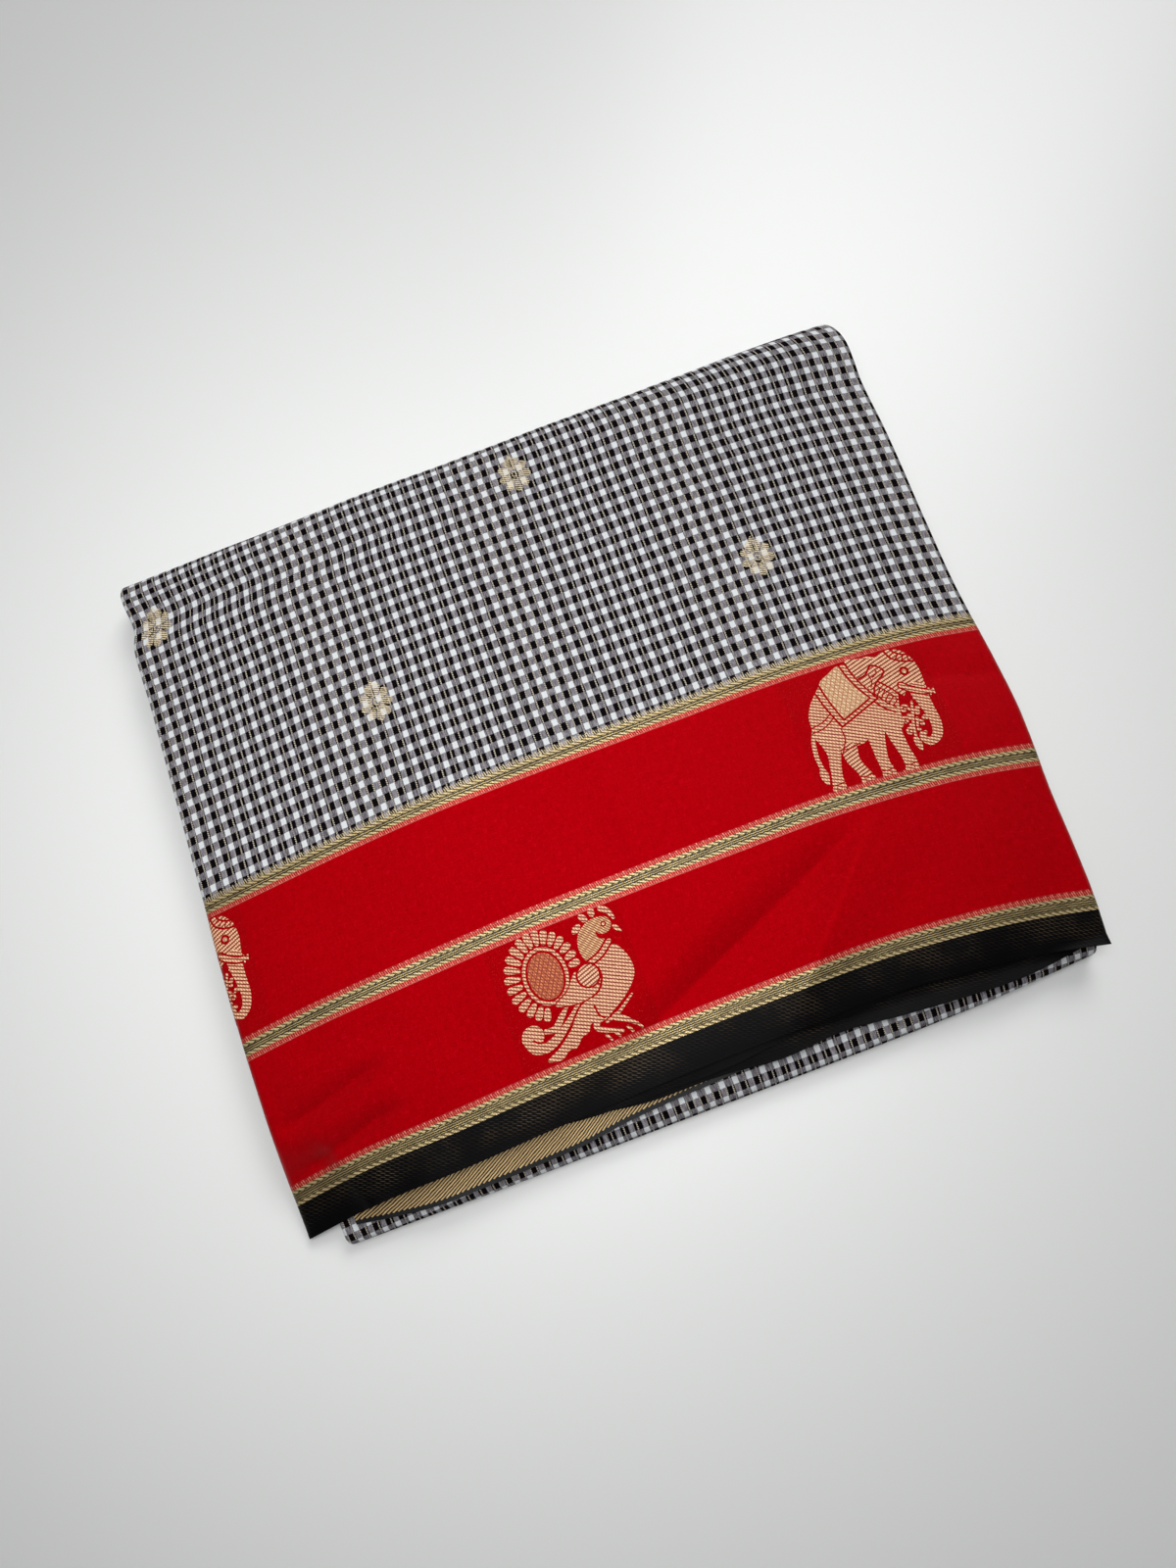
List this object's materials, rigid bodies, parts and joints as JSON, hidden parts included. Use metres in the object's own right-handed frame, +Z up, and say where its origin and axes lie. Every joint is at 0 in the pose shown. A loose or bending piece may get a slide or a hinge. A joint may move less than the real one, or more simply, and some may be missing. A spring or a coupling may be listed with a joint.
{
  "type": "folded saree",
  "caption": "Checked cotton saree folded into a flat rectangular packet, its red, black and gold woven border lying along the near side of the top leaf.",
  "frame": {"origin": "bottom centre of the folded packet, on the surface that it lies on", "axes": "+X along the border from the left fold to the right fold, +Y from the near selvedge to the far fold, +Z up through the layers"},
  "size_m": [0.3466, 0.3034, 0.0242],
  "materials": {
    "checked_body": "matt black and white checked cotton with fine gold yarns",
    "red_border": "fine red cloth with a soft satin sheen and woven gold motifs",
    "black_border": "matt black cloth with faint diagonal gold stitches",
    "zari_band": "ribbed band of dull gold yarn",
    "twill_border": "steep diagonal ribs of gold yarn on black"
  },
  "bodies": {
    "root": {"top_selvedge_black": "black_border", "top_zari_near": "zari_band", "top_red_near": "red_border", "top_zari_middle": "zari_band", "top_red_far": "red_border", "top_zari_far": "zari_band", "top_body_checked": "checked_body", "under_body_checked": "checked_body", "folded_layers": "checked_body", "second_border_black": "black_border", "inner_border_twill": "twill_border"}
  },
  "joints": []
}
